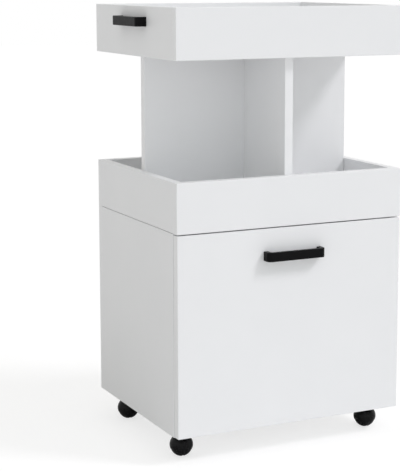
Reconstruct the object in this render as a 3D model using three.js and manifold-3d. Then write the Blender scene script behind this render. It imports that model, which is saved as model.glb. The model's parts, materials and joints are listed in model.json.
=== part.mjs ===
// Mobile pedestal on four ball casters, in millimetres, +Z up, its front towards -Y.
// A case with one deep drawer carries an open tray, a cross of upright panels and a second tray.
// The origin is on the floor, in the middle of the footprint with both handles counted.

import * as THREE from 'three';
import { mergeVertices } from 'three/addons/utils/BufferGeometryUtils.js';
import Module from 'manifold-3d';

// Driving dimensions of the furniture
const cabinetWidth = 420;
const cabinetDepth = 340;
const boardThickness = 15;
const carcassHeight = 338; // side panels of the drawer case
const trayWallHeight = 83;
const openHeight = 193.2; // from the lower tray's rim to the top tray's underside
const casterHeight = 46; // from the floor to the underside of the case
const jointGap = 0.3; // between two pieces that are fastened to each other
const overrun = 5; // how far a cutting tool passes the faces that it cuts

// Drawer
const frontClearance = 0.8; // between the drawer front and the edges that it closes on
const frontTopGap = 2;
const frontBottomInset = 1;
const frontSideInset = 0.7;
const boxBoard = 12;
const boxLift = 13; // from the case floor to the drawer box
const boxHeadroom = 70; // from the drawer box to the top of the case
const boxRearSpace = 24.7;
const bottomPanel = 4;
const grooveDepth = 6;
const grooveRise = 10; // from the box's lower edge to its bottom panel

// Telescopic slides, three channels inside one another
const slideThickness = 12.7;
const slideHeight = 45;
const slideSteel = 1.2;
const slideRunning = 0.4; // clearance between channels, where the balls run
const slideFrontInset = 3;
const slideRearInset = 5.8;
const slideRise = 70; // from the box's lower edge to the middle of the slides
const outerChannelDepth = 10.5;
const middleChannelDepth = 9.8;

// Bridge handles and their screws
const handleLength = 108;
const handleProjection = 18;
const handleHeight = 15.6;
const handleBar = 6.5;
const handleLeg = 8;
const handleCorner = 8;
const handleInnerCorner = 2.5;
const handleChamfer = 0.8;
const drawerHandleDrop = 45; // from the front's top edge to the middle of the handle
const trayHandleDrop = 25;
const screwRadius = 2;
const screwReach = 9; // into the leg of a handle
const screwTip = 0.8;
const screwHeadRadius = 4;
const screwHeadHeight = 2.8;
const screwHeadRound = 1;
const screwPlay = 0.4; // around the shank, in the board and in the leg
const screwEndPlay = 1; // past the tip, in the leg

// Casters
const casterInsetX = 31; // from the side of the case to the swivel axis
const casterInsetY = 43;
const casterTrail = 12; // from the swivel axis to the axle
const plateSize = 36;
const plateThickness = 2.5;
const plateHoleRadius = 2.2;
const plateHoleInset = 5.5;
const kingpinRadius = 5.5;
const kingpinReach = 5.4;
const wheelRadius = 18.4;
const wheelOuterFace = 17;
const hoodRadius = 20;
const hoodWall = 1.1;
const hoodSkirt = 5; // how far the hood comes down past the axle
const neckRadius = 9;
const neckReach = 9.6; // below the top of the neck
const webThickness = 4;
const webDrop = 10.4; // how far the web comes down past the axle
const webBite = 0.5; // into the wall of the hood
const axleRadius = 2;
const axleHalfLength = 13.7;
const swivelPlay = 0.6; // between the plate and the neck
const runningPlay = 0.3; // between pieces of a caster that turn on each other
const wheelSidePlay = 0.5; // between the web and a wheel
const wheelInnerFace = webThickness / 2 + wheelSidePlay;
const axleHeight = Math.sqrt(wheelRadius ** 2 - wheelInnerFace ** 2); // each wheel rolls on its inner rim

// Facets of round stretches
const wheelSides = 24;
const wheelArcSteps = 6;
const hoodArcSteps = 6;
const pinSides = 20;
const holeSides = 12;
const screwSides = 16;
const cornerSteps = 5;
const mergeTolerance = 0.0001;

// Levels above the floor, and the faces that boards stand between
const caseTop = casterHeight + carcassHeight;
const lowerTrayBottom = caseTop + jointGap;
const lowerTrayRim = lowerTrayBottom + trayWallHeight;
const topTrayBottom = lowerTrayRim + openHeight;
const halfWidth = cabinetWidth / 2;
const halfDepth = cabinetDepth / 2;
const innerX = halfWidth - boardThickness;
const innerY = halfDepth - boardThickness;
const closingY = -innerY + frontClearance;

const wasm = await Module();
wasm.setup();

// A closed three.js geometry as a solid, without the flat triangles at the poles of a lathe
function toSolid(geometry) {
  const bare = geometry.clone();
  bare.deleteAttribute('normal');
  bare.deleteAttribute('uv');
  const merged = mergeVertices(bare, mergeTolerance);
  const index = merged.index.array;
  const kept = [];
  for (let i = 0; i < index.length; i += 3) {
    const [a, b, c] = [index[i], index[i + 1], index[i + 2]];
    if (a !== b && b !== c && c !== a) kept.push(a, b, c);
  }
  return new wasm.Manifold(new wasm.Mesh({
    numProp: 3,
    vertProperties: merged.attributes.position.array,
    triVerts: new Uint32Array(kept),
  }));
}

function toGeometry(solid) {
  const mesh = solid.getMesh();
  const geometry = new THREE.BufferGeometry();
  geometry.setAttribute('position', new THREE.BufferAttribute(mesh.vertProperties, 3));
  geometry.setIndex(new THREE.BufferAttribute(mesh.triVerts, 1));
  geometry.computeVertexNormals();
  return geometry;
}

function cut(geometry, tools) {
  return toGeometry(tools.reduce((solid, tool) => solid.subtract(toSolid(tool)), toSolid(geometry)));
}

const finishes = {
  board: { color: 0xf1f1f2, roughness: 0.45, metalness: 0 },
  panel: { color: 0xe9e9e8, roughness: 0.6, metalness: 0 },
  blackMetal: { color: 0x1b1b1c, roughness: 0.4, metalness: 0.3 },
  zincSteel: { color: 0xb9bcc0, roughness: 0.35, metalness: 0.9 },
  blackPlastic: { color: 0x161617, roughness: 0.35, metalness: 0 },
};

function piece(parent, name, geometry, finish, place = [0, 0, 0]) {
  const mesh = new THREE.Mesh(geometry, new THREE.MeshStandardMaterial(finishes[finish]));
  mesh.name = name;
  mesh.position.set(...place);
  parent.add(mesh);
  return mesh;
}

// A board between two opposite corners, with any holes cut by tools in the parent's own frame
function board(parent, name, low, high, tools = [], finish = 'board') {
  const size = low.map((value, axis) => high[axis] - value);
  const middle = low.map((value, axis) => (high[axis] + value) / 2);
  const geometry = new THREE.BoxGeometry(...size);
  const local = tools.map((tool) => tool.clone().translate(...middle.map((value) => -value)));
  return piece(parent, name, local.length ? cut(geometry, local) : geometry, finish, middle);
}

function profile(points) {
  const shape = new THREE.Shape();
  points.forEach(([x, y], i) => (i ? shape.lineTo(x, y) : shape.moveTo(x, y)));
  return shape;
}

// A constant section, drawn in X and Z, that runs along Y from zero
function runAlongY(points, length) {
  const geometry = new THREE.ExtrudeGeometry(profile(points), { depth: length, bevelEnabled: false });
  return geometry.rotateX(Math.PI / 2).translate(0, length, 0);
}

function rodAlongX(radius, length, sides) {
  return new THREE.CylinderGeometry(radius, radius, length, sides).rotateZ(Math.PI / 2);
}

function rodAlongZ(radius, bottom, top, sides) {
  const rod = new THREE.CylinderGeometry(radius, radius, top - bottom, sides).rotateX(Math.PI / 2);
  return rod.translate(0, 0, (bottom + top) / 2);
}

// Holes for the two screws of a handle, square to a board, in the handle's own frame
const screwSpacing = handleLength - handleLeg;
function screwHoles(radius, from, to) {
  return [-1, 1].map((side) => {
    const hole = new THREE.CylinderGeometry(radius, radius, to - from, holeSides);
    return hole.translate((side * screwSpacing) / 2, (from + to) / 2, 0);
  });
}

// The bar and its two legs in plan, standing on the board's face at zero and reaching to -Y
function handleOutline() {
  const end = handleLength / 2;
  const foot = end - handleLeg;
  const back = -handleProjection + jointGap;
  const inside = back + handleBar;
  const shape = new THREE.Shape();
  shape.moveTo(-end, 0);
  shape.absarc(-end + handleCorner, back + handleCorner, handleCorner, Math.PI, 1.5 * Math.PI);
  shape.absarc(end - handleCorner, back + handleCorner, handleCorner, 1.5 * Math.PI, 2 * Math.PI);
  shape.lineTo(end, 0);
  shape.lineTo(foot, 0);
  const turn = handleInnerCorner;
  shape.absarc(foot - turn, inside + turn, turn, 2 * Math.PI, 1.5 * Math.PI, true);
  shape.absarc(-foot + turn, inside + turn, turn, 1.5 * Math.PI, Math.PI, true);
  shape.lineTo(-foot, 0);
  return shape;
}

function handleGeometry() {
  const bar = new THREE.ExtrudeGeometry(handleOutline(), {
    depth: handleHeight - 2 * handleChamfer,
    curveSegments: cornerSteps,
    bevelSegments: 1,
    bevelSize: handleChamfer,
    bevelThickness: handleChamfer,
    bevelOffset: -handleChamfer,
  });
  bar.translate(0, 0, handleChamfer - handleHeight / 2);
  return cut(bar, screwHoles(screwRadius + screwPlay, -screwReach - screwEndPlay, overrun));
}

// A pan-head screw along Y: its tip in the leg, its head behind the board
function screwGeometry() {
  const seat = 2 * jointGap + boardThickness;
  const crown = seat + screwHeadHeight;
  const points = [
    [0, -screwReach],
    [screwRadius - screwTip, -screwReach],
    [screwRadius, -screwReach + screwTip],
    [screwRadius, seat],
    [screwHeadRadius, seat],
    [screwHeadRadius, crown - screwHeadRound],
    [screwHeadRadius - screwHeadRound, crown],
    [0, crown],
  ].map(([x, y]) => new THREE.Vector2(x, y));
  return new THREE.LatheGeometry(points, screwSides);
}

// A handle on a board whose outer face lies at zero, with its two screws
function addHandle(parent, name, place, turn) {
  const group = new THREE.Group();
  group.position.set(...place);
  group.rotation.z = turn;
  parent.add(group);
  piece(group, `${name}_handle`, handleGeometry(), 'blackMetal', [0, -jointGap, 0]);
  ['left', 'right'].forEach((side, i) => {
    const x = (i - 0.5) * screwSpacing;
    piece(group, `${name}_handle_screw_${side}`, screwGeometry(), 'zincSteel', [x, -jointGap, 0]);
  });
}

// Holes through a board for those screws, in the frame of the board's parent
function handleHoles(place, turn) {
  const tools = screwHoles(screwRadius + screwPlay, -overrun, boardThickness + overrun);
  return tools.map((tool) => tool.rotateZ(turn).translate(...place));
}

// Case: two sides, a floor, and a back that also closes the lower tray
function addCarcass(parent) {
  const rear = innerY - jointGap;
  board(parent, 'base_panel',
    [-innerX + jointGap, closingY, casterHeight],
    [innerX - jointGap, rear, casterHeight + boardThickness]);
  board(parent, 'left_side_panel', [-halfWidth, closingY, casterHeight], [-innerX, rear, caseTop]);
  board(parent, 'right_side_panel', [innerX, closingY, casterHeight], [halfWidth, rear, caseTop]);
  board(parent, 'back_panel', [-halfWidth, innerY, casterHeight], [halfWidth, halfDepth, lowerTrayRim]);
}

// A tray floor held between its walls; the front and rear walls run the full width
function addTray(parent, name, bottom, leftWallHoles = [], rearWall = true) {
  const rim = bottom + trayWallHeight;
  const x = innerX - jointGap;
  const y = innerY - jointGap;
  board(parent, `${name}_floor`, [-x, -y, bottom], [x, y, bottom + boardThickness]);
  board(parent, `${name}_front_wall`, [-halfWidth, -halfDepth, bottom], [halfWidth, -innerY, rim]);
  board(parent, `${name}_left_wall`, [-halfWidth, -y, bottom], [-innerX, y, rim], leftWallHoles);
  board(parent, `${name}_right_wall`, [innerX, -y, bottom], [halfWidth, y, rim]);
  if (rearWall) {
    board(parent, `${name}_rear_wall`, [-halfWidth, innerY, bottom], [halfWidth, halfDepth, rim]);
  }
}

// Cross of upright panels that stands on the lower tray's floor and carries the top tray
function addCross(parent) {
  const foot = lowerTrayBottom + boardThickness + jointGap;
  const head = topTrayBottom - jointGap;
  const half = boardThickness / 2;
  const inner = half + jointGap;
  const outer = innerX - jointGap;
  const y = innerY - jointGap;
  board(parent, 'centre_divider', [-half, -y, foot], [half, y, head]);
  board(parent, 'left_wing_panel', [-outer, -half, foot], [-inner, half, head]);
  board(parent, 'right_wing_panel', [inner, -half, foot], [outer, half, head]);
}

// Drawer box, measured from the case
const boxFrontY = -innerY + jointGap;
const boxRearY = innerY - boxRearSpace;
const boxOuterX = innerX - slideThickness - 2 * jointGap;
const boxInnerX = boxOuterX - boxBoard;
const boxBottomZ = casterHeight + boardThickness + boxLift;
const boxTopZ = caseTop - boxHeadroom;
const grooveBottomZ = boxBottomZ + grooveRise;
const grooveTopZ = grooveBottomZ + bottomPanel + 2 * jointGap;

// A drawer side with the groove for the bottom panel in its inner face
function drawerSide(side) {
  const grooveX = boxInnerX + grooveDepth;
  const points = [
    [boxInnerX, boxBottomZ],
    [boxOuterX, boxBottomZ],
    [boxOuterX, boxTopZ],
    [boxInnerX, boxTopZ],
    [boxInnerX, grooveTopZ],
    [grooveX, grooveTopZ],
    [grooveX, grooveBottomZ],
    [boxInnerX, grooveBottomZ],
  ].map(([x, z]) => [side * x, z]);
  return runAlongY(points, boxRearY - boxFrontY);
}

function addDrawer(parent) {
  const frontTopZ = lowerTrayBottom - frontTopGap;
  const frontX = halfWidth - frontSideInset;
  const handlePlace = [0, -halfDepth, frontTopZ - drawerHandleDrop];
  board(parent, 'drawer_front',
    [-frontX, -halfDepth, casterHeight + frontBottomInset],
    [frontX, -innerY, frontTopZ],
    handleHoles(handlePlace, 0));
  piece(parent, 'drawer_left_side', drawerSide(-1), 'panel', [0, boxFrontY, 0]);
  piece(parent, 'drawer_right_side', drawerSide(1), 'panel', [0, boxFrontY, 0]);
  const panelX = boxInnerX + grooveDepth - jointGap;
  const panelZ = grooveBottomZ + jointGap;
  board(parent, 'drawer_bottom',
    [-panelX, boxFrontY, panelZ],
    [panelX, boxRearY, panelZ + bottomPanel], [], 'panel');
  const backX = boxInnerX - jointGap;
  board(parent, 'drawer_back',
    [-backX, boxRearY - boxBoard, grooveTopZ],
    [backX, boxRearY, boxTopZ], [], 'panel');
  addHandle(parent, 'drawer', handlePlace, 0);
}

// A steel channel along Y; web and lips are distances from the case side towards the drawer
function channel(web, lips, height) {
  const inward = Math.sign(lips - web) * slideSteel;
  const outer = height / 2;
  const inner = outer - slideSteel;
  return [
    [web, -outer],
    [lips, -outer],
    [lips, -inner],
    [web + inward, -inner],
    [web + inward, inner],
    [lips, inner],
    [lips, outer],
    [web, outer],
  ];
}

function addSlides(parent) {
  const frontY = closingY + slideFrontInset;
  const length = boxRearY - slideRearInset - frontY;
  const step = slideSteel + slideRunning;
  const outerWeb = jointGap;
  const middleWeb = outerWeb + step;
  const innerWeb = jointGap + slideThickness;
  const members = {
    outer: channel(outerWeb, outerWeb + outerChannelDepth, slideHeight),
    middle: channel(middleWeb, middleWeb + middleChannelDepth, slideHeight - 2 * step),
    inner: channel(innerWeb, middleWeb + step, slideHeight - 4 * step),
  };
  for (const [side, sign] of [['left', -1], ['right', 1]]) {
    for (const [member, points] of Object.entries(members)) {
      const section = points.map(([u, v]) => [sign * (innerX - u), v]);
      piece(parent, `${side}_slide_${member}_channel`, runAlongY(section, length), 'zincSteel',
        [0, frontY, boxBottomZ + slideRise]);
    }
  }
}

// Plate and kingpin in one piece, its swivel axis on Z at zero
function plateGeometry() {
  const top = casterHeight - jointGap;
  const under = top - plateThickness;
  const plate = new THREE.BoxGeometry(plateSize, plateSize, plateThickness);
  plate.translate(0, 0, (top + under) / 2);
  const kingpin = rodAlongZ(kingpinRadius, under - kingpinReach, top - plateThickness / 2, pinSides);
  const reach = plateSize / 2 - plateHoleInset;
  let solid = toSolid(plate).add(toSolid(kingpin));
  for (const x of [-reach, reach]) {
    for (const y of [-reach, reach]) {
      const hole = rodAlongZ(plateHoleRadius, under - overrun, top + overrun, holeSides);
      solid = solid.subtract(toSolid(hole.translate(x, y, 0)));
    }
  }
  return toGeometry(solid);
}

// The points of an arc about the middle of the ball, by its angle up from the level of the axle
function ballArc(radius, from, to, steps) {
  const points = [];
  for (let i = 0; i <= steps; i += 1) {
    const angle = from + ((to - from) * i) / steps;
    points.push(new THREE.Vector2(radius * Math.cos(angle), radius * Math.sin(angle)));
  }
  return points;
}

// Hood: a shell over the upper part of the ball, a neck on the swivel axis and a web between the
// wheels. The swivel axis is on Z at zero, the axle one trail behind it.
function hoodGeometry() {
  const inside = hoodRadius - hoodWall;
  const neckTop = casterHeight - jointGap - plateThickness - swivelPlay;
  const pinEnd = casterHeight - jointGap - plateThickness - kingpinReach - runningPlay;
  const outerArc = ballArc(hoodRadius, -Math.asin(hoodSkirt / hoodRadius), Math.PI / 2, hoodArcSteps);
  const innerArc = ballArc(inside, Math.PI / 2, -Math.asin(hoodSkirt / inside), hoodArcSteps);
  outerArc[hoodArcSteps].x = 0;
  innerArc[0].x = 0;
  const ring = [...innerArc, ...outerArc];
  const shell = new THREE.LatheGeometry(ring, wheelSides).rotateX(Math.PI / 2);
  shell.translate(0, casterTrail, axleHeight);
  const ball = new THREE.SphereGeometry(inside, wheelSides, 2 * hoodArcSteps);
  ball.rotateX(Math.PI / 2).translate(0, casterTrail, axleHeight);
  const neck = rodAlongZ(neckRadius, neckTop - neckReach, neckTop, pinSides);
  const webRadius = inside + webBite;
  const web = rodAlongX(webRadius, webThickness, wheelSides).translate(0, casterTrail, axleHeight);
  const below = new THREE.BoxGeometry(2 * hoodRadius, 2 * hoodRadius, hoodRadius);
  below.translate(0, casterTrail, axleHeight - webDrop - hoodRadius / 2);
  const pinHole = rodAlongZ(kingpinRadius + runningPlay, pinEnd, neckTop + overrun, pinSides);
  const axleHole = rodAlongX(axleRadius + runningPlay, webThickness + 2 * overrun, holeSides);
  axleHole.translate(0, casterTrail, axleHeight);
  const solid = toSolid(neck)
    .subtract(toSolid(ball))
    .add(toSolid(shell))
    .add(toSolid(web).subtract(toSolid(below)))
    .subtract(toSolid(pinHole))
    .subtract(toSolid(axleHole));
  return toGeometry(solid);
}

// Half of the ball wheel, from the web to its flat outer face, with a blind bore for the axle
function wheelGeometry() {
  const boreRadius = axleRadius + runningPlay;
  const boreEnd = axleHalfLength + runningPlay;
  const tread = ballArc(wheelRadius, Math.asin(wheelInnerFace / wheelRadius),
    Math.asin(wheelOuterFace / wheelRadius), wheelArcSteps);
  const points = [
    new THREE.Vector2(0, boreEnd),
    new THREE.Vector2(boreRadius, boreEnd),
    new THREE.Vector2(boreRadius, wheelInnerFace),
    ...tread,
    new THREE.Vector2(0, wheelOuterFace),
  ];
  return new THREE.LatheGeometry(points, wheelSides).rotateZ(-Math.PI / 2);
}

function addCaster(parent, name, place, heading) {
  const group = new THREE.Group();
  group.position.set(...place);
  group.rotation.z = heading;
  parent.add(group);
  const axle = [0, casterTrail, axleHeight];
  piece(group, `${name}_plate`, plateGeometry(), 'zincSteel');
  piece(group, `${name}_hood`, hoodGeometry(), 'blackPlastic');
  piece(group, `${name}_axle`, rodAlongX(axleRadius, 2 * axleHalfLength, holeSides), 'zincSteel', axle);
  piece(group, `${name}_wheel_right`, wheelGeometry(), 'blackPlastic', axle);
  piece(group, `${name}_wheel_left`, wheelGeometry().rotateZ(Math.PI), 'blackPlastic', axle);
}

// The front casters trail backwards and the rear ones forwards, as the pedestal was set down
function addCasters(parent) {
  const x = halfWidth - casterInsetX;
  const y = halfDepth - casterInsetY;
  for (const [side, sign] of [['left', -1], ['right', 1]]) {
    addCaster(parent, `front_${side}_caster`, [sign * x, -y, 0], 0);
    addCaster(parent, `rear_${side}_caster`, [sign * x, y, 0], Math.PI);
  }
}

const pedestal = new THREE.Group();
pedestal.name = 'mobile_pedestal';
pedestal.position.set(handleProjection / 2, handleProjection / 2, 0);

const trayHandlePlace = [-halfWidth, 0, topTrayBottom + trayWallHeight - trayHandleDrop];
const trayHandleTurn = -Math.PI / 2;

addCarcass(pedestal);
addTray(pedestal, 'lower_tray', lowerTrayBottom, [], false);
addCross(pedestal);
addTray(pedestal, 'top_tray', topTrayBottom, handleHoles(trayHandlePlace, trayHandleTurn));
addHandle(pedestal, 'tray', trayHandlePlace, trayHandleTurn);
addDrawer(pedestal);
addSlides(pedestal);
addCasters(pedestal);

export default pedestal;
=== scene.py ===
import json
import math
import bmesh
import bpy
from mathutils import Matrix, Vector


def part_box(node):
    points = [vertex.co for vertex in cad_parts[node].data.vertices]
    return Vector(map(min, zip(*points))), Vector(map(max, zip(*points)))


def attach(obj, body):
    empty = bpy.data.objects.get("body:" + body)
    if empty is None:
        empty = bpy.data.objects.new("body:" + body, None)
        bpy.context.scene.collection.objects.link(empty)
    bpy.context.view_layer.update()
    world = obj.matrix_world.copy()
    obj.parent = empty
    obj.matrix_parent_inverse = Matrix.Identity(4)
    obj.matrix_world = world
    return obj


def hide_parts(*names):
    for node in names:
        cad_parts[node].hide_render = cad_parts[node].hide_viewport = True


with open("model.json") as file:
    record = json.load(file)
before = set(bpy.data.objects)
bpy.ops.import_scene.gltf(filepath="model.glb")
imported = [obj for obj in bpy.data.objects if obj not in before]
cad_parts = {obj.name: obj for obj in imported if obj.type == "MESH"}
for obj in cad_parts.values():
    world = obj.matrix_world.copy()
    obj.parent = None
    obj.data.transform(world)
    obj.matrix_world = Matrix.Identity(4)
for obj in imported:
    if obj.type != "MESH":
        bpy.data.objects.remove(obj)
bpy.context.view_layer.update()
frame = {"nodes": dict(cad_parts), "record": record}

# Sizes are in metres, angles in degrees

cadNodes = frame["nodes"]
record = frame["record"]
bodyOfNode = {name: body for body, names in record["behaviour"]["bodies"].items() for name in names}
slotOfNode = {part["node"]: part["material_slot"] for part in record["subparts"]}
print("frame loaded,", len(cadNodes), "nodes")


# Nodes of materials, of the sky and of Geometry Nodes trees

def addNode(tree, kind, inputs=None, **settings):  # an input is a plain value or another node's socket
    node = tree.nodes.new(kind)
    for key, value in settings.items():
        setattr(node, key, value)
    for socket, value in (inputs or {}).items():
        if isinstance(value, bpy.types.NodeSocket):
            tree.links.new(value, node.inputs[socket])
        else:
            node.inputs[socket].default_value = value
    return node


def calculated(tree, operation, first, second):
    return addNode(tree, "ShaderNodeMath", {0: first, 1: second}, operation=operation).outputs[0]


# Finishes: patterns of noise drive the colour, the roughness and the relief of each

finishSettings = {
    "melamine": {
        "name": "white melamine face",
        "patterns": {
            "cloud": {"scale": 9, "detail": 3},
            "handling": {"scale": 26, "detail": 4, "roughness": 0.6},  # faint patches where the sheen changes
            "pearl": {"scale": 900, "roughness": 0.6},
            "wave": {"scale": 70, "detail": 1},
        },
        "colors": ("cloud", (0.888, 0.892, 0.9), (0.874, 0.879, 0.888)),  # pattern, lowest, highest
        "roughness": ("handling", 0.37, 0.48),  # the same
        "relief": {"pearl": (0.00006, 0.35), "wave": (0.0002, 0.12)},  # depth and strength
    },
    "banding": {
        "name": "white edge banding",
        "patterns": {"streak": {"scale": 400}, "cloud": {"scale": 40}},
        "colors": ("cloud", (0.893, 0.897, 0.905), (0.878, 0.883, 0.892)),
        "roughness": ("streak", 0.32, 0.42),
        "relief": {"streak": (0.00005, 0.3)},
    },
    "foil": {
        "name": "matt drawer foil",
        "patterns": {
            "linen": {"stretch": (1400, 500, 1400), "roughness": 0.6},
            "cloud": {"scale": 14, "detail": 3},
        },
        "colors": ("cloud", (0.79, 0.79, 0.785), (0.765, 0.765, 0.76)),
        "roughness": ("linen", 0.5, 0.62),
        "relief": {"linen": (0.00008, 0.4)},
    },
    "hardboard": {
        "name": "raw hardboard",
        "patterns": {
            "fibre": {"stretch": (900, 260, 900), "detail": 4, "roughness": 0.7},
            "grit": {"scale": 1200},
        },
        "colors": ("fibre", (0.2, 0.108, 0.05), (0.15, 0.075, 0.032)),
        "roughness": ("grit", 0.72, 0.88),
        "relief": {"fibre": (0.0002, 0.5)},
    },
    "powderCoat": {
        "name": "black powder coat",
        "IOR": 1.17,
        "patterns": {"grain": {"scale": 1800, "detail": 3, "roughness": 0.65}, "patch": {"scale": 120}},
        "colors": ("grain", (0.0035, 0.0035, 0.004), (0.006, 0.006, 0.0065)),
        "roughness": ("patch", 0.3, 0.4),
        "relief": {"grain": (0.00012, 0.35)},
    },
    "nylon": {
        "name": "black moulded nylon",
        "IOR": 1.24,
        "patterns": {"flow": {"scale": 90, "detail": 3}, "spark": {"scale": 2200, "roughness": 0.6}},
        "colors": ("flow", (0.0035, 0.0035, 0.004), (0.006, 0.006, 0.0065)),
        "roughness": ("flow", 0.24, 0.38),
        "relief": {"spark": (0.00008, 0.3), "flow": (0.0002, 0.1)},
    },
    "zinc": {
        "name": "bright zinc plate",
        "Metallic": 1.0,
        "patterns": {
            "rolled": {"stretch": (2600, 60, 2600), "detail": 3, "roughness": 0.6},  # the marks run along Y
            "spangle": {"scale": 160},
        },
        "colors": ("spangle", (0.63, 0.64, 0.66), (0.54, 0.555, 0.585)),
        "roughness": ("rolled", 0.24, 0.4),
        "relief": {"rolled": (0.00005, 0.35)},
    },
    "dieCast": {
        "name": "die-cast zinc",
        "Metallic": 1.0,
        "patterns": {"cast": {"scale": 900, "detail": 3, "roughness": 0.6}},
        "colors": ("cast", (0.46, 0.46, 0.47), (0.36, 0.36, 0.37)),
        "roughness": ("cast", 0.42, 0.6),
        "relief": {"cast": (0.0001, 0.4)},
    },
    "particle": {
        "name": "particle board",
        "patterns": {"chips": {"scale": 700, "detail": 4, "roughness": 0.7}},
        "colors": ("chips", (0.56, 0.41, 0.26), (0.36, 0.24, 0.14)),
        "roughness": ("chips", 0.78, 0.92),
        "relief": {"chips": (0.0003, 0.6)},
    },
    "cap": {
        "name": "white cap plastic",
        "patterns": {"flow": {"scale": 260}},
        "colors": ("flow", (0.875, 0.877, 0.88), (0.855, 0.857, 0.86)),
        "roughness": ("flow", 0.3, 0.42),
        "relief": {"flow": (0.00008, 0.25)},
    },
}
noiseSpan = (0.3, 0.7)  # where nearly all values of a noise lie


def newMaterial(name, color, roughness, **sockets):
    material = bpy.data.materials.new(name)
    material.use_nodes = True
    material.diffuse_color = (*color, 1)
    shader = material.node_tree.nodes["Principled BSDF"]
    for socket, value in {"Base Color": (*color, 1), "Roughness": roughness, **sockets}.items():
        shader.inputs[socket].default_value = value
    return material, material.node_tree, shader


def noise(tree, scale=1, detail=2, roughness=0.5, stretch=(1, 1, 1)):
    where = addNode(tree, "ShaderNodeTexCoord").outputs["Object"]
    mapping = addNode(tree, "ShaderNodeMapping", {"Vector": where, "Scale": stretch})
    return addNode(tree, "ShaderNodeTexNoise", {"Vector": mapping.outputs["Vector"], "Scale": scale,
                                                "Detail": detail, "Roughness": roughness}).outputs["Fac"]


def remap(tree, value, low, high):
    return addNode(tree, "ShaderNodeMapRange", {"Value": value, "From Min": noiseSpan[0],
                                                "From Max": noiseSpan[1], "To Min": low,
                                                "To Max": high}).outputs["Result"]


def mixColors(tree, factor, first, second):
    return addNode(tree, "ShaderNodeMix", {"A": (*first, 1), "B": (*second, 1), "Factor": factor},
                   data_type="RGBA").outputs["Result"]


def mixFinish(name, patterns, colors, roughness, relief, **sockets):
    material, tree, shader = newMaterial(name, colors[1], roughness[1], **sockets)
    values = {pattern: noise(tree, **settings) for pattern, settings in patterns.items()}
    pattern, first, second = colors
    color = mixColors(tree, remap(tree, values[pattern], 0, 1), first, second)
    tree.links.new(color, shader.inputs["Base Color"])
    pattern, low, high = roughness
    tree.links.new(remap(tree, values[pattern], low, high), shader.inputs["Roughness"])
    normal = None
    for pattern, (depth, strength) in relief.items():
        bump = addNode(tree, "ShaderNodeBump", {"Height": values[pattern], "Distance": depth,
                                                "Strength": strength})
        if normal:
            tree.links.new(normal, bump.inputs["Normal"])
        normal = bump.outputs["Normal"]
    tree.links.new(normal, shader.inputs["Normal"])
    return material


finishes = {finish: mixFinish(**settings) for finish, settings in finishSettings.items()}
print("materials mixed,", len(finishes))


# Meshes

meshing = {
    "smoothAngle": 40,  # degrees past which an edge stays sharp
    "roundAngle": 50,  # degrees past which an edge can be rounded
    "faceWeight": 80,
    "weld": 0.000003,
    "pole": 1e-7,  # a smaller radius is a point on the axis
}


def newObject(name, data):
    obj = bpy.data.objects.new(name, data)
    bpy.context.scene.collection.objects.link(obj)
    return obj


def plainMesh(obj, name):
    graph = bpy.context.evaluated_depsgraph_get()
    mesh = bpy.data.meshes.new_from_object(obj.evaluated_get(graph))
    mesh.name = name
    bpy.data.objects.remove(obj)
    return mesh


def modified(mesh, *modifiers):
    obj = newObject("shaping", mesh)
    for kind, values in modifiers:
        modifier = obj.modifiers.new(kind.lower(), kind)
        for key, value in values.items():
            setattr(modifier, key, value)
    return plainMesh(obj, mesh.name)


def smoothed(mesh, angle=meshing["smoothAngle"]):
    mesh.shade_smooth()
    mesh.set_sharp_from_angle(angle=math.radians(angle))
    return modified(mesh, ("WEIGHTED_NORMAL", {"keep_sharp": True, "weight": meshing["faceWeight"]}))


def sharpEdges(edge):
    return 1.0 if edge.calc_face_angle(0) > math.radians(meshing["roundAngle"]) else 0.0


def rounded(mesh, width, segments=3, weightOf=sharpEdges):  # weightOf gives an edge its share of the width
    bm = bmesh.new()
    bm.from_mesh(mesh)
    weights = bm.edges.layers.float.new("bevel_weight_edge")
    for edge in bm.edges:
        edge[weights] = weightOf(edge)
    bm.to_mesh(mesh)
    bm.free()
    return modified(mesh, ("BEVEL", {"limit_method": "WEIGHT", "width": width, "segments": segments,
                                     "use_clamp_overlap": False}))


def combined(mesh, operation, *tools):
    for tool in tools:
        toolObject = newObject("tool", tool)
        mesh = modified(mesh, ("BOOLEAN", {"operation": operation, "solver": "EXACT", "object": toolObject}),
                        ("WELD", {"merge_threshold": meshing["weld"]}))
        bpy.data.objects.remove(toolObject)
    return mesh


def joinedMesh(name, meshes):
    bm = bmesh.new()
    for mesh in meshes:
        bm.from_mesh(mesh)
    joined = bpy.data.meshes.new(name)
    bm.to_mesh(joined)
    bm.free()
    return joined


def moved(mesh, matrix):
    copy = mesh.copy()
    copy.transform(matrix)
    return copy


def bmeshToMesh(bm, name):
    bmesh.ops.recalc_face_normals(bm, faces=bm.faces)
    mesh = bpy.data.meshes.new(name)
    bm.to_mesh(mesh)
    bm.free()
    return mesh


def onCircle(middle, radius, degrees):
    angle = math.radians(degrees)
    return middle[0] + radius * math.cos(angle), middle[1] + radius * math.sin(angle)


def arc(middle, radius, start, end, steps):
    return [onCircle(middle, radius, start + (end - start) * i / steps) for i in range(steps + 1)]


def turned(name, profile, steps=64):  # a closed profile of (radius, height) spun about Z
    bm = bmesh.new()
    rings = []
    for radius, height in profile:
        if radius < meshing["pole"]:
            rings.append([bm.verts.new((0, 0, height))])
            continue
        circle = [onCircle((0, 0), radius, 360 * i / steps) for i in range(steps)]
        rings.append([bm.verts.new((x, y, height)) for x, y in circle])
    for first, second in zip(rings, rings[1:] + rings[:1]):
        for i in range(steps):
            j = (i + 1) % steps
            around = (first, i), (first, j), (second, j), (second, i)
            face = list(dict.fromkeys(ring[k % len(ring)] for ring, k in around))
            if len(face) > 2:
                bm.faces.new(face)
    return bmeshToMesh(bm, name)


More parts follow.
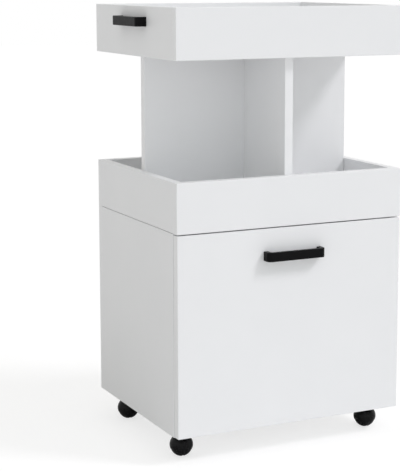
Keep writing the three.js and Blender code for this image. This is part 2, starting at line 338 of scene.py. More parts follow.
def extruded(name, outline, low, high, toPoint):  # toPoint turns (u, v, depth) into a place
    bm = bmesh.new()
    ends = [[bm.verts.new(toPoint(u, v, depth)) for u, v in outline] for depth in (low, high)]
    bm.faces.new(ends[0])
    bm.faces.new(ends[1])
    for i in range(len(outline)):
        j = (i + 1) % len(outline)
        bm.faces.new((ends[0][i], ends[0][j], ends[1][j], ends[1][i]))
    return bmeshToMesh(bm, name)


def upright(u, v, depth):
    return u, v, depth


def alongY(u, v, depth):
    return u, depth, v


def rod(radius, low, high, steps=32):
    return turned("rod", [(0, low), (radius, low), (radius, high), (0, high)], steps)


def block(low, high):
    bm = bmesh.new()
    bmesh.ops.create_cube(bm, size=1)
    low, high = Vector(low), Vector(high)
    place = Matrix.Translation((low + high) / 2) @ Matrix.Diagonal((*(high - low), 1))
    bmesh.ops.transform(bm, matrix=place, verts=bm.verts)
    return bmeshToMesh(bm, "block")


def facing(direction, place):  # turns +Z to a direction and moves it to a place
    return Matrix.Translation(place) @ Vector(direction).to_track_quat("Z", "Y").to_matrix().to_4x4()


def coloured(mesh, indexOf):  # indexOf gives each face the number of its material
    for face in mesh.polygons:
        face.material_index = indexOf(face)
    return mesh


def addPiece(name, mesh, materials, body, slot, *replaced):
    obj = newObject(name, mesh)
    for material in materials:
        mesh.materials.append(finishes[material])
    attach(obj, body)
    if replaced:
        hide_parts(*replaced)


# Geometry Nodes trees for what repeats: balls along a line, and fasteners on points

fineness = {
    "ball": {"Segments": 16, "Rings": 10},
    "oval": {"Segments": 28, "Rings": 16},
    "column": 28,
    "shank": 20,
}
headForm = {
    "ovalSpread": 1.14,  # an oval wider than the head leaves it an upright edge
    "columnHeight": 4,  # in head heights
    "sunk": 0.3,  # how much of the head's height the shank reaches into it
}


def nodeGroup(name, sockets):  # an input whose first value is None takes a material
    kinds = {float: "NodeSocketFloat", int: "NodeSocketInt", bool: "NodeSocketBool"}
    tree = bpy.data.node_groups.new(name, "GeometryNodeTree")
    tree.interface.new_socket("Geometry", in_out="INPUT", socket_type="NodeSocketGeometry")
    for label, value in sockets.items():
        kind = kinds.get(type(value), "NodeSocketMaterial")
        socket = tree.interface.new_socket(label, in_out="INPUT", socket_type=kind)
        if value is not None:
            socket.default_value = value
    tree.interface.new_socket("Geometry", in_out="OUTPUT", socket_type="NodeSocketGeometry")
    return tree, addNode(tree, "NodeGroupInput").outputs, addNode(tree, "NodeGroupOutput")


def combinedVector(tree, x, y, z):
    return addNode(tree, "ShaderNodeCombineXYZ", {0: x, 1: y, 2: z}).outputs[0]


def placed(tree, shape, inputs):
    return addNode(tree, "GeometryNodeTransform", {"Geometry": shape.outputs["Mesh"], **inputs}).outputs[0]


def booleanOf(tree, operation, *meshes, whole=None):
    node = addNode(tree, "GeometryNodeMeshBoolean", {"Mesh 1": whole} if whole else None,
                   operation=operation, solver="MANIFOLD")
    for mesh in meshes:
        tree.links.new(mesh, node.inputs["Mesh 2"])
    return node.outputs["Mesh"]


def endTree(tree, instances, finish, result):  # the export keeps real meshes only
    real = addNode(tree, "GeometryNodeRealizeInstances", {0: instances})
    done = addNode(tree, "GeometryNodeSetMaterial", {"Geometry": real.outputs[0], "Material": finish})
    tree.links.new(done.outputs[0], result.inputs[0])
    return tree


def ballTree():
    tree, given, result = nodeGroup("balls along a line", {
        "Ball Diameter": 0.003, "Pitch": 0.0085, "Finish": None})
    line = addNode(tree, "GeometryNodeMeshToCurve", {"Mesh": given["Geometry"]})
    spots = addNode(tree, "GeometryNodeCurveToPoints", {"Curve": line.outputs[0], "Length": given["Pitch"]},
                    mode="LENGTH")
    radius = calculated(tree, "MULTIPLY", given["Ball Diameter"], 0.5)
    ball = addNode(tree, "GeometryNodeMeshUVSphere", {**fineness["ball"], "Radius": radius})
    balls = addNode(tree, "GeometryNodeInstanceOnPoints", {"Points": spots.outputs["Points"],
                                                           "Instance": ball.outputs["Mesh"]})
    return endTree(tree, balls.outputs[0], given["Finish"], result)


def standingRod(tree, sides, radius, length, middle):
    shape = addNode(tree, "GeometryNodeMeshCylinder", {"Vertices": sides, "Radius": radius, "Depth": length})
    return placed(tree, shape, {"Translation": combinedVector(tree, 0, 0, middle)})


def fastenerShape(tree, size):  # an oval head on a shank, with a cross recess where it is a screw
    height = size["Head Height"]
    wide = calculated(tree, "MULTIPLY", size["Head Radius"], headForm["ovalSpread"])
    oval = placed(tree, addNode(tree, "GeometryNodeMeshUVSphere", fineness["oval"]), {
        "Scale": combinedVector(tree, wide, wide, height)})
    tall = calculated(tree, "MULTIPLY", height, headForm["columnHeight"])
    column = standingRod(tree, fineness["column"], size["Head Radius"], tall,
                         calculated(tree, "MULTIPLY", tall, 0.5))
    head = booleanOf(tree, "INTERSECT", oval, column)
    sunk = calculated(tree, "MULTIPLY", height, headForm["sunk"])
    length = calculated(tree, "ADD", size["Shank Length"], sunk)
    drop = calculated(tree, "SUBTRACT", sunk, size["Shank Length"])
    shank = standingRod(tree, fineness["shank"], size["Shank Radius"], length,
                        calculated(tree, "MULTIPLY", drop, 0.5))
    body = booleanOf(tree, "UNION", head, shank)
    deep = calculated(tree, "MULTIPLY", size["Recess Depth"], 2)
    onTop = combinedVector(tree, 0, 0, height)
    bars = []
    for along, over in (("Recess Length", "Recess Width"), ("Recess Width", "Recess Length")):
        barSize = combinedVector(tree, size[along], size[over], deep)
        bar = addNode(tree, "GeometryNodeMeshCube", {"Size": barSize})
        bars.append(placed(tree, bar, {"Translation": onTop}))
    recessed = booleanOf(tree, "DIFFERENCE", *bars, whole=body)
    shape = addNode(tree, "GeometryNodeSwitch", {"Switch": size["Cross Recess"], "False": body,
                                                 "True": recessed}, input_type="GEOMETRY").outputs["Output"]
    return addNode(tree, "GeometryNodeMergeByDistance", {"Geometry": shape,
                                                         "Distance": size["Weld Distance"]}).outputs[0]


def fastenerTurn(tree, seed):  # the head faces as its point says, and the recess is turned at random
    way = addNode(tree, "GeometryNodeInputNamedAttribute", {"Name": "facing"}, data_type="FLOAT_VECTOR")
    aimed = addNode(tree, "FunctionNodeAlignRotationToVector", {"Vector": way.outputs["Attribute"]}, axis="Z")
    chance = addNode(tree, "FunctionNodeRandomValue", {"Seed": seed}, data_type="FLOAT")
    quarter = calculated(tree, "MULTIPLY", chance.outputs[1], math.pi / 2)
    spin = addNode(tree, "FunctionNodeAxisAngleToRotation", {"Axis": (0, 0, 1), "Angle": quarter})
    return addNode(tree, "FunctionNodeRotateRotation", {
        "Rotation": aimed.outputs[0], "Rotate By": spin.outputs[0]}, rotation_space="LOCAL").outputs[0]


def fastenerTree():
    tree, size, result = nodeGroup("fasteners on points", {
        "Head Radius": 0.004, "Head Height": 0.0028, "Shank Radius": 0.002, "Shank Length": 0.02,
        "Recess Length": 0.004, "Recess Width": 0.001, "Recess Depth": 0.0014, "Cross Recess": True,
        "Weld Distance": meshing["weld"], "Seed": 0, "Finish": None})
    shape, turn = fastenerShape(tree, size), fastenerTurn(tree, size["Seed"])
    heads = addNode(tree, "GeometryNodeInstanceOnPoints", {"Points": size["Geometry"], "Instance": shape,
                                                           "Rotation": turn})
    return endTree(tree, heads.outputs[0], size["Finish"], result)


trees = {"balls": ballTree(), "fasteners": fastenerTree()}


def grown(name, tree, mesh, values):  # the plain mesh that a tree makes of a mesh
    obj = newObject(name, mesh)
    modifier = obj.modifiers.new("grow", "NODES")
    modifier.node_group = tree
    for item in tree.interface.items_tree:
        if item.in_out == "INPUT" and item.name in values:
            modifier[item.identifier] = values[item.name]
    return plainMesh(obj, name)


# Bridge handles, one on the drawer front and one on the top tray's left wall

bridge = {
    "boards": {"drawer": "drawer_front", "tray": "top_tray_left_wall"},
    "axes": {"drawer": 1, "tray": 0},  # the axis along which each one stands off its board
    "bar": 0.0065,
    "leg": 0.008,
    "corner": 0.008,
    "cornerSteps": 12,
    "innerCorner": 0.0025,
    "innerSteps": 6,
    "rim": (0.0009, 4),  # rounding of the edges and its steps
    "boreRadius": 0.0024,
    "boreDepth": 0.0105,
    "boreOverrun": 0.002,
}


def bridgeSizes(name):
    low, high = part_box(name + "_handle")
    boardLow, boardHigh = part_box(bridge["boards"][name])
    axis = bridge["axes"][name]
    place = (low + high) / 2
    place[axis] = boardLow[axis]
    turn = Matrix.Rotation(math.radians(90 * axis - 90), 4, "Z")  # a handle that faces Y isn't turned
    return {"frame": Matrix.Translation(place) @ turn, "length": high[1 - axis] - low[1 - axis],
            "projection": boardLow[axis] - low[axis], "height": high.z - low.z,
            "board": boardHigh[axis] - boardLow[axis]}


def screwPlaces(name):  # in the handle's own frame, where the board's face is at zero and the bar towards -Y
    reach = bridgeSizes(name)["length"] / 2 - bridge["leg"] / 2
    return [(-reach, 0, 0), (reach, 0, 0)]


def handleBores(name, low, high):
    frameOfHandle = bridgeSizes(name)["frame"]
    return [moved(rod(bridge["boreRadius"], low, high), frameOfHandle @ facing((0, 1, 0), place))
            for place in screwPlaces(name)]


def bridgeOutline(length, projection):
    end = length / 2
    foot = end - bridge["leg"]
    turn, steps = bridge["corner"], bridge["cornerSteps"]
    small, smallSteps = bridge["innerCorner"], bridge["innerSteps"]
    inside = bridge["bar"] - projection
    outline = [(-end, 0)]
    outline += arc((turn - end, turn - projection), turn, 180, 270, steps)
    outline += arc((end - turn, turn - projection), turn, 270, 360, steps)
    outline += [(end, 0), (foot, 0)]
    outline += arc((foot - small, inside + small), small, 360, 270, smallSteps)
    outline += arc((small - foot, inside + small), small, 270, 180, smallSteps)
    return outline + [(-foot, 0)]


def awayFromBoard(edge):  # the feet stay sharp where they meet the board
    return sharpEdges(edge) if min(vertex.co.y for vertex in edge.verts) < -meshing["weld"] else 0


def makeHandles():
    for name, boardName in bridge["boards"].items():
        sizes = bridgeSizes(name)
        half = sizes["height"] / 2
        outline = bridgeOutline(sizes["length"], sizes["projection"])
        mesh = extruded(name + "_handle", outline, -half, half, upright)
        mesh = moved(rounded(mesh, *bridge["rim"], awayFromBoard), sizes["frame"])
        mesh = combined(mesh, "DIFFERENCE", *handleBores(name, -bridge["boreDepth"], bridge["boreOverrun"]))
        addPiece(name + "_bridge_handle", smoothed(mesh), ["powderCoat"], bodyOfNode[boardName],
                 "black_handle", name + "_handle")
    print("handles bent")


# Boards: every one is a core with two faces and a band round its edges

board = {
    "looks": {"white_board": ("melamine", "banding", "particle"), "drawer_board": ("foil", "foil")},
    "bottomLooks": ("foil", "hardboard"),
    "openRound": 0.0007,  # edges that a hand can reach
    "jointRound": 0.00018,  # edges that lie against another board
    "bandThickness": 0.001,
    "seam": 0.00009,
    "flatness": 0.999,  # how straight a broad face looks along the board's thickness
    "underside": -0.5,  # faces that look further down than this are raw hardboard
    "reach": 0.0012,  # how near a neighbour counts as a joint
    "jointGap": 0.0003,
    "rebate": (0.0005, 0.004),  # height and depth, under the lower tray's side walls
    "boreOverrun": 0.001,
}
faceLook, bandLook, coreLook = range(3)
boardBoxes = {name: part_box(name) for name, slot in slotOfNode.items() if slot in board["looks"]}


def touchesBoard(point, own):
    reach = board["reach"]
    return any(all(low[i] - reach <= point[i] <= high[i] + reach for i in range(3))
               for name, (low, high) in boardBoxes.items()
               if name != own and bodyOfNode[name] == bodyOfNode[own])


def onTraySeam(point):  # outside, where the lower tray stands on the case: this joint shows as a dark line
    left, right = boardBoxes["left_side_panel"], boardBoxes["right_side_panel"]
    fromOutside = min(point.x - left[0].x, right[1].x - point.x)
    return abs(point.z - left[1].z) < board["reach"] and fromOutside < board["reach"]


def shapedBoard(name, mesh):
    joint = board["jointRound"] / board["openRound"]

    def weightOf(edge):
        middle = (edge.verts[0].co + edge.verts[1].co) / 2
        closed = touchesBoard(middle, name) and not onTraySeam(middle)
        return sharpEdges(edge) * (joint if closed else 1)

    return rounded(mesh, board["openRound"], weightOf=weightOf)


def bandBoard(mesh, size):  # a broad face ends in a fine groove, outside which the band begins
    thin = min(range(3), key=lambda i: size[i])
    seam = board["seam"]
    bm = bmesh.new()
    bm.from_mesh(mesh)
    broad = [face for face in bm.faces if abs(face.normal[thin]) > board["flatness"]]
    broad.sort(key=lambda face: -face.calc_area())
    for face in bm.faces:
        face.material_index = bandLook
    for face in broad[:2]:
        for width, depth in ((board["bandThickness"], 0), (seam, -seam), (seam, seam)):
            bmesh.ops.inset_individual(bm, faces=[face], thickness=width, depth=depth)
        face.material_index = faceLook
    bm.to_mesh(mesh)
    bm.free()
    return mesh


def grooveOutline(name):  # the section of a drawer side, with the groove that holds the bottom panel
    low, high = boardBoxes[name]
    panelLow, panelHigh = boardBoxes["drawer_bottom"]
    gap = board["jointGap"]
    if low.x < panelLow.x:
        inner, outer, deep = high.x, low.x, panelLow.x - gap
    else:
        inner, outer, deep = low.x, high.x, panelHigh.x + gap
    return [(inner, low.z), (outer, low.z), (outer, high.z), (inner, high.z), (inner, panelHigh.z + gap),
            (deep, panelHigh.z + gap), (deep, panelLow.z - gap), (inner, panelLow.z - gap)]


def rebateOutline(name):  # the section of a lower tray wall, with the rebate that makes its joint show
    low, high = boardBoxes[name]
    height, depth = board["rebate"]
    if name == "lower_tray_left_wall":
        inner, outer, deep = high.x, low.x, low.x + depth
    else:
        inner, outer, deep = low.x, high.x, high.x - depth
    return [(inner, low.z), (deep, low.z), (deep, low.z + height), (outer, low.z + height), (outer, high.z),
            (inner, high.z)]


def wingBlock(name):  # the wings are pressed against the divider, so that hardly a line shows in the corner
    low, high = boardBoxes[name]
    dividerLow, dividerHigh = boardBoxes["centre_divider"]
    if name == "left_wing_panel":
        return block(low, (dividerLow.x, high.y, high.z))
    return block((dividerHigh.x, low.y, low.z), high)


def boardMesh(name):
    low, high = boardBoxes[name]
    if name in ("drawer_left_side", "drawer_right_side"):
        return shapedBoard(name, extruded(name, grooveOutline(name), low.y, high.y, alongY))
    if name == "drawer_bottom":
        return coloured(shapedBoard(name, block(low, high)),
                        lambda face: bandLook if face.normal.z < board["underside"] else faceLook)
    if name in ("lower_tray_left_wall", "lower_tray_right_wall"):
        mesh = extruded(name, rebateOutline(name), low.y, high.y, alongY)
    elif name in ("left_wing_panel", "right_wing_panel"):
        mesh = wingBlock(name)
    else:
        mesh = block(low, high)
    return bandBoard(shapedBoard(name, mesh), high - low)


def makeBoards():
    bored = {boardName: name for name, boardName in bridge["boards"].items()}
    overrun = board["boreOverrun"]
    for name in boardBoxes:
        looks = board["bottomLooks"] if name == "drawer_bottom" else board["looks"][slotOfNode[name]]
        mesh = boardMesh(name)
        if name in bored:
            holes = handleBores(bored[name], -overrun, bridgeSizes(bored[name])["board"] + overrun)
            mesh = combined(mesh, "DIFFERENCE", *[coloured(hole, lambda face: coreLook) for hole in holes])
        addPiece(name + "_board", smoothed(mesh), looks, bodyOfNode[name], slotOfNode[name], name)
    print("boards cut and banded,", len(boardBoxes))


# Casters: a plate with its kingpin, a hood that swivels on it and two half-ball wheels

caster = {
    "wheelRadius": 0.0184,
    "wheelRim": 0.0025,  # from the middle plane to the widest part of a wheel
    "wheelFace": 0.0022,
    "rimChamfer": 0.0007,
    "hub": (0.0062, 0.0148, 0.0012, 0.0006),  # the recess in a wheel's inner face: from, to, depth, slope
    "capSeam": (54, 0.7, 0.0003),  # angle, half width in degrees, depth
    "bore": (0.0023, 0.014),
    "hoodRadius": 0.02,
    "hoodRim": 0.0191,  # the hood draws in towards its lower edge
    "hoodInside": 0.0187,
    "hoodSkirt": 0.005,
    "hoodSteps": 24,
    "drawIn": 44,  # degrees over which it draws in
    "neckRadius": 0.009,
    "neckReach": 0.0096,
    "neckTop": 0.0426,
    "neckRound": 0.0009,
    "neckFoot": 0.0034,  # radius of its lower edge
    "weld": 0.0193,  # inside the hood's wall, where neck and web join it
    "webHalf": 0.002,
    "webFoot": 0.0178,
    "webTopArc": (-8, 188, 42),  # degrees from and to, steps
    "webFootArc": (196, 344, 30),
    "pinHole": 0.0058,
    "pinHoleEnd": 0.0375,
    "pinRadius": 0.0055,
    "pinReach": 0.0054,
    "pinChamfer": 0.0008,
    "plateThickness": 0.0025,
    "plateCorner": 0.004,
    "plateRound": (0.0004, 2),
    "plateHole": 0.0022,
    "plateHoleInset": 0.0055,
    "cut": 0.01,  # how far a drill reaches past the middle of what it bores
    "steps": {"wheel": 72, "tread": 16, "crown": 12, "hood": 72, "ball": 60, "meridian": 30, "neck": 48,
              "neckFoot": 8, "neckRound": 5, "pin": 40, "plateCorner": 8},
    "wheelSmooth": 30,
}
corners = [f"{end}_{side}" for end in ("front", "rear") for side in ("left", "right")]


def casterSizes(corner):
    plateLow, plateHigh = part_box(corner + "_caster_plate")
    axleLow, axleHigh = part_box(corner + "_caster_axle")
    swivel = (plateLow + plateHigh) / 2
    axle = (axleLow + axleHigh) / 2
    heading = 0 if axle.y > swivel.y else math.pi
    place = Matrix.Translation((swivel.x, swivel.y, 0)) @ Matrix.Rotation(heading, 4, "Z")
    return {"frame": place, "axle": Vector((0, abs(axle.y - swivel.y), axle.z)), "plateTop": plateHigh.z,
            "plateSize": plateHigh.x - plateLow.x}


def hoodShell():
    rim, radius, inside, steps = (caster[key] for key in ("hoodRim", "hoodRadius", "hoodInside", "hoodSteps"))
    low = -math.degrees(math.asin(caster["hoodSkirt"] / inside))
    profile = []
    for i in range(steps + 1):
        angle = low + (90 - low) * i / steps
        share = min(1, (angle - low) / caster["drawIn"])
        profile.append(onCircle((0, 0), rim + (radius - rim) * share * (2 - share), angle))
    return turned("hood", profile + arc((0, 0), inside, 90, low, steps), caster["steps"]["hood"])


def hoodNeck():
    top, radius, turn, foot = (caster[key] for key in ("neckTop", "neckRadius", "neckRound", "neckFoot"))
    under = top - caster["neckReach"]
    steps = caster["steps"]
    profile = [(0, under)] + arc((radius - foot, under + foot), foot, 270, 360, steps["neckFoot"])
    profile += arc((radius - turn, top - turn), turn, 0, 90, steps["neckRound"]) + [(0, top)]
    return turned("neck", profile, steps["neck"])


def hoodMesh(axle):
    steps = caster["steps"]
    shell = moved(hoodShell(), Matrix.Translation(axle))
    ball = turned("ball", arc((0, 0), caster["weld"], -90, 90, steps["meridian"]), steps["ball"])
    outline = arc((0, 0), caster["weld"], *caster["webTopArc"])
    outline += arc((0, 0), caster["webFoot"], *caster["webFootArc"])
    web = extruded("web", outline, -caster["webHalf"], caster["webHalf"],
                   lambda u, v, depth: (depth, axle.y + u, axle.z + v))
    mesh = combined(hoodNeck(), "DIFFERENCE", moved(ball, Matrix.Translation(axle)))
    mesh = combined(mesh, "UNION", shell, web)
    cut = caster["cut"]
    pin = rod(caster["pinHole"], caster["pinHoleEnd"], caster["neckTop"] + cut, steps["pin"])
    axleHole = moved(rod(caster["bore"][0], -cut, cut), facing((1, 0, 0), axle))
    return combined(mesh, "DIFFERENCE", pin, axleHole)


def wheelMesh():
    radius, face = caster["wheelRadius"], caster["wheelFace"]
    boreRadius, boreEnd = caster["bore"]
    hubFrom, hubTo, hubDepth, slope = caster["hub"]
    seamAt, seamHalf, seamDepth = caster["capSeam"]
    deep = face + hubDepth
    profile = [(0, boreEnd), (boreRadius, boreEnd), (boreRadius, face), (hubFrom, face)]
    profile += [(hubFrom + slope, deep), (hubTo - slope, deep), (hubTo, face)]
    profile += [(radius - caster["rimChamfer"], face)]
    start = math.degrees(math.asin(caster["wheelRim"] / radius))
    steps = caster["steps"]
    profile += arc((0, 0), radius, start, seamAt - seamHalf, steps["tread"])
    profile += [onCircle((0, 0), radius - seamDepth, seamAt)]
    profile += arc((0, 0), radius, seamAt + seamHalf, 90, steps["crown"])
    return turned("wheel", profile, steps["wheel"])


def plateMesh(top, size):
    half = size / 2
    turn = caster["plateCorner"]
    thickness = caster["plateThickness"]
    steps = caster["steps"]
    outline = []
    for x, y, start in ((1, -1, 270), (1, 1, 0), (-1, 1, 90), (-1, -1, 180)):
        middle = x * (half - turn), y * (half - turn)
        outline += arc(middle, turn, start, start + 90, steps["plateCorner"])
    plate = rounded(extruded("plate", outline, top - thickness, top, upright), *caster["plateRound"])
    end, inside = top - thickness - caster["pinReach"], top - thickness / 2
    radius, chamfer = caster["pinRadius"], caster["pinChamfer"]
    pin = turned("pin", [(0, end), (radius - chamfer, end), (radius, end + chamfer), (radius, inside),
                         (0, inside)], steps["pin"])
    reach = half - caster["plateHoleInset"]
    cut = caster["cut"]
    holes = [moved(rod(caster["plateHole"], top - cut, top + cut), Matrix.Translation((x, y, 0)))
             for x in (-reach, reach) for y in (-reach, reach)]
    return combined(combined(plate, "UNION", pin), "DIFFERENCE", *holes)


def makeCasters():
    sizes = casterSizes(corners[0])
    axle = sizes["axle"]
    hood, wheel = smoothed(hoodMesh(axle)), smoothed(wheelMesh(), caster["wheelSmooth"])
    plate = smoothed(plateMesh(sizes["plateTop"], sizes["plateSize"]))
    for corner in corners:
        place = casterSizes(corner)["frame"]
        addPiece(corner + "_swivel_hood", moved(hood, place), ["nylon"], corner + "_swivel", "black_plastic",
                 corner + "_caster_hood")
        addPiece(corner + "_top_plate", moved(plate, place), ["zinc"], "cabinet", "zinc_steel",
                 corner + "_caster_plate")
        for side, outwards in (("left", -1), ("right", 1)):
            spot = place @ facing((outwards, 0, 0), axle)
            addPiece(f"{corner}_half_ball_{side}", moved(wheel, spot), ["nylon"], f"{corner}_wheel_{side}",
                     "black_plastic", f"{corner}_caster_wheel_{side}")
    print("casters assembled,", len(corners))


# Telescopic slides: three bent channels on each side, with balls in their races

slide = {
    "bodies": {"outer": "cabinet", "middle": "slide_middles", "inner": "drawer"},
    "steel": 0.0012,
    "bend": (0.0013, 4),  # middle radius and steps
    "height": {"outer": 0.045, "middle": 0.0366, "inner": 0.0278},
    "lip": {"outer": 0.0024},  # only the outer channel has lips at the ends of its flanges
    "webFirst": {"outer": True, "middle": True, "inner": False},  # the web is on the case panel's side
    "holes": {"outer": (0.035, 0.099, 0.163, 0.259), "middle": (0.06, 0.21), "inner": (0.028, 0.124, 0.252)},
    "slots": {"outer": (0.051, 0.195), "middle": (0.135,), "inner": (0.076, 0.188)},  # from the front end
    "holeRadius": {"outer": 0.0023, "middle": 0.004, "inner": 0.0023},
    "slotReach": {"outer": 0.0035, "middle": 0.009, "inner": 0.0035},
    "cut": 0.002,
    "holeSteps": 20,
    "ovalSteps": 10,
    "smooth": 30,
    "ball": 0.003,
    "ballSmooth": 60,
    "ballPitch": 0.0085,
    "raceAcross": {"outer": 0.0064, "inner": 0.0076},  # from the case side
    "raceLength": 0.125,
    "raceInset": 0.007,  # from the end of the middle channel to the first ball
    "cage": (0.0034, 0.0007),  # width and thickness
    "cageRound": (0.0002, 2),
    "screws": {"outer": (0.035, 0.163, 0.259), "inner": (0.028, 0.124, 0.252)},
}


def slideSizes(side, member):
    low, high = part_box(f"{side}_slide_{member}_channel")
    sideLow, sideHigh = boardBoxes[side + "_side_panel"]
    face, inwards = (sideHigh.x, 1) if side == "left" else (sideLow.x, -1)
    across = sorted((inwards * (low.x - face), inwards * (high.x - face)))
    return {"face": face, "inwards": inwards, "near": across[0], "far": across[1], "front": low.y,
            "rear": high.y, "middle": (low.z + high.z) / 2}


def bentSheet(line, thickness, bend, steps):  # the outline of a sheet that is bent at right angles
    line = [Vector(point) for point in line]
    path = [(line[0], (line[1] - line[0]).normalized())]
    for before, point, after in zip(line, line[1:], line[2:]):
        come, go = (point - before).normalized(), (after - point).normalized()
        middle = point + (go - come) * bend
        for step in range(steps + 1):
            angle = math.pi / 2 * step / steps
            path.append((middle + (come * math.sin(angle) - go * math.cos(angle)) * bend,
                         come * math.cos(angle) + go * math.sin(angle)))
    path.append((line[-1], (line[-1] - line[-2]).normalized()))
    left = [point + Vector((-way.y, way.x)) * thickness / 2 for point, way in path]
    right = [point - Vector((-way.y, way.x)) * thickness / 2 for point, way in path]
    return left + right[::-1]


def channelMesh(side, member):
    sizes = slideSizes(side, member)
    steel = slide["steel"]
    web, edge = sizes["near"] + steel / 2, sizes["far"] - steel / 2
    if not slide["webFirst"][member]:
        web, edge = edge, web
    half = (slide["height"][member] - steel) / 2
    line = [(edge, half), (web, half), (web, -half), (edge, -half)]
    if member in slide["lip"]:
        lip = half - slide["lip"][member]
        line = [(edge, lip), *line, (edge, -lip)]

    def place(u, v, depth):
        return sizes["face"] + sizes["inwards"] * u, depth, sizes["middle"] + v

    mesh = extruded(member, bentSheet(line, steel, *slide["bend"]), sizes["front"], sizes["rear"], place)
    radius, reach, cut = slide["holeRadius"][member], slide["slotReach"][member], slide["cut"]
    steps = slide["ovalSteps"]
    oval = arc((reach, 0), radius, -90, 90, steps) + arc((-reach, 0), radius, 90, 270, steps)
    slot = extruded("slot", oval, -cut, cut, lambda u, v, depth: (depth, u, v))
    hole = moved(rod(radius, -cut, cut, slide["holeSteps"]), facing((1, 0, 0), (0, 0, 0)))
    tools = []
    for tool, distances in ((hole, slide["holes"][member]), (slot, slide["slots"][member])):
        for distance in distances:
            tools.append(moved(tool, Matrix.Translation(place(web, 0, sizes["front"] + distance))))
    return combined(mesh, "DIFFERENCE", joinedMesh("openings", tools))


def raceLines(side):  # where the balls run: the start and the end of each race
    sizes = slideSizes(side, "middle")
    outerEdge = slide["height"]["outer"] / 2 - slide["steel"]
    innerEdge = slide["height"]["inner"] / 2
    up = {"outer": outerEdge - slide["ball"] / 2, "inner": innerEdge + slide["ball"] / 2}
    rear = sizes["rear"] - slide["raceInset"]
    front = sizes["front"] + slide["raceInset"]
    reach = {"outer": (rear - slide["raceLength"], rear), "inner": (front, front + slide["raceLength"])}
    lines = []
    for race, across in slide["raceAcross"].items():
        for way in (-1, 1):
            x = sizes["face"] + sizes["inwards"] * across
            z = sizes["middle"] + way * up[race]
            lines.append([(x, y, z) for y in reach[race]])
    return lines


def makeSlides():
    values = {"Ball Diameter": slide["ball"], "Pitch": slide["ballPitch"], "Finish": finishes["zinc"]}
    width, thickness = slide["cage"]
    reach = Vector((width, slide["ballPitch"], thickness)) / 2
    balls, cages = [], []
    for side in ("left", "right"):
        for member, body in slide["bodies"].items():
            mesh = smoothed(channelMesh(side, member), slide["smooth"])
            addPiece(f"{side}_slide_{member}_profile", mesh, ["zinc"], body, "zinc_steel",
                     f"{side}_slide_{member}_channel")
        for start, end in raceLines(side):
            line = bpy.data.meshes.new("race")
            line.from_pydata([start, end], [(0, 1)], [])
            balls.append(grown("balls", trees["balls"], line, values))
            cages.append(rounded(block(Vector(start) - reach, Vector(end) + reach), *slide["cageRound"]))
    ballMesh = smoothed(joinedMesh("slide_balls", balls), slide["ballSmooth"])
    cageMesh = smoothed(joinedMesh("slide_ball_cages", cages))
    addPiece("slide_balls", ballMesh, ["zinc"], "slide_middles", "zinc_steel")
    addPiece("slide_ball_cages", cageMesh, ["dieCast"], "slide_middles", "zinc_steel")
    print("slides bent, balls in their races")


# Screws, cams, cover caps and bumpers

fastener = {  # head: radius and height, shank: radius and length, recess: length, width and depth
    "handleScrew": {"head": (0.004, 0.0026), "shank": (0.002, 0.0245), "recess": (0.0042, 0.0009, 0.0014)},
    "plateScrew": {"head": (0.0037, 0.0021), "shank": (0.0021, 0.0026), "recess": (0.0038, 0.0009, 0.0012)},
    "slideScrew": {"head": (0.0034, 0.0016), "shank": (0.0021, 0.0014), "recess": (0.0034, 0.0008, 0.001)},
    "flatScrew": {"head": (0.0034, 0.0003), "shank": (0.0021, 0.0012), "recess": (0.0034, 0.0008, 0.0009)},
    "cam": {"head": (0.0075, 0.0005), "shank": (0.006, 0.002), "recess": (0.0062, 0.0015, 0.0016)},
    "cap": {"head": (0.0062, 0.0009), "shank": (0.003, 0.001)},
    "bumper": {"head": (0.004, 0.0007), "shank": (0.002, 0.0006)},
    "seeds": {"handleScrew": 3, "plateScrew": 5, "slideScrew": 7, "flatScrew": 9, "cam": 11},
    "inputs": {"head": ("Head Radius", "Head Height"), "shank": ("Shank Radius", "Shank Length"),
               "recess": ("Recess Length", "Recess Width", "Recess Depth")},
    "smooth": 35,
    "camInset": 0.024,  # from the drawer front
    "camLevels": (0.04, 0.2),  # above the lower edge of the drawer box
    "backScrewLevels": (0.03, 0.205),
    "capPlaces": (0.27, 0.73),  # shares of the length of the panel below
    "bumperInset": 0.0075,
    "bumperLevels": (0.03, 0.31),
}


def fasteners(name, spots, kind, finish):  # spots are pairs of a place and the way that the head faces
    sizes = fastener[kind]
    values = {"Finish": finishes[finish], "Seed": fastener["seeds"].get(kind, 0),
              "Cross Recess": "recess" in sizes}
    for part, inputs in fastener["inputs"].items():
        values.update(zip(inputs, sizes.get(part, ())))
    mesh = bpy.data.meshes.new(name)
    mesh.from_pydata([place for place, way in spots], [], [])
    facings = mesh.attributes.new("facing", "FLOAT_VECTOR", "POINT")
    for i, (place, way) in enumerate(spots):
        facings.data[i].vector = way
    return smoothed(grown(name, trees["fasteners"], mesh, values), fastener["smooth"])


def handleScrewSpots(name):
    sizes = bridgeSizes(name)
    way = sizes["frame"].to_3x3() @ Vector((0, 1, 0))
    return [(sizes["frame"] @ Vector((place[0], sizes["board"], 0)), way) for place in screwPlaces(name)]


def plateScrewSpots():
    spots = []
    for corner in corners:
        low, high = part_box(corner + "_caster_plate")
        inset = caster["plateHoleInset"]
        for x in (low.x + inset, high.x - inset):
            for y in (low.y + inset, high.y - inset):
                spots.append(((x, y, high.z - caster["plateThickness"]), (0, 0, -1)))
    return spots


def slideScrewSpots(member):
    spots = []
    for side in ("left", "right"):
        sizes = slideSizes(side, member)
        inwards = sizes["inwards"]
        way = inwards if member == "outer" else -inwards
        seat = sizes["near"] + slide["steel"] if member == "outer" else sizes["far"] - slide["steel"]
        for distance in slide["screws"][member]:
            place = sizes["face"] + inwards * seat, sizes["front"] + distance, sizes["middle"]
            spots.append((place, (way, 0, 0)))
    return spots


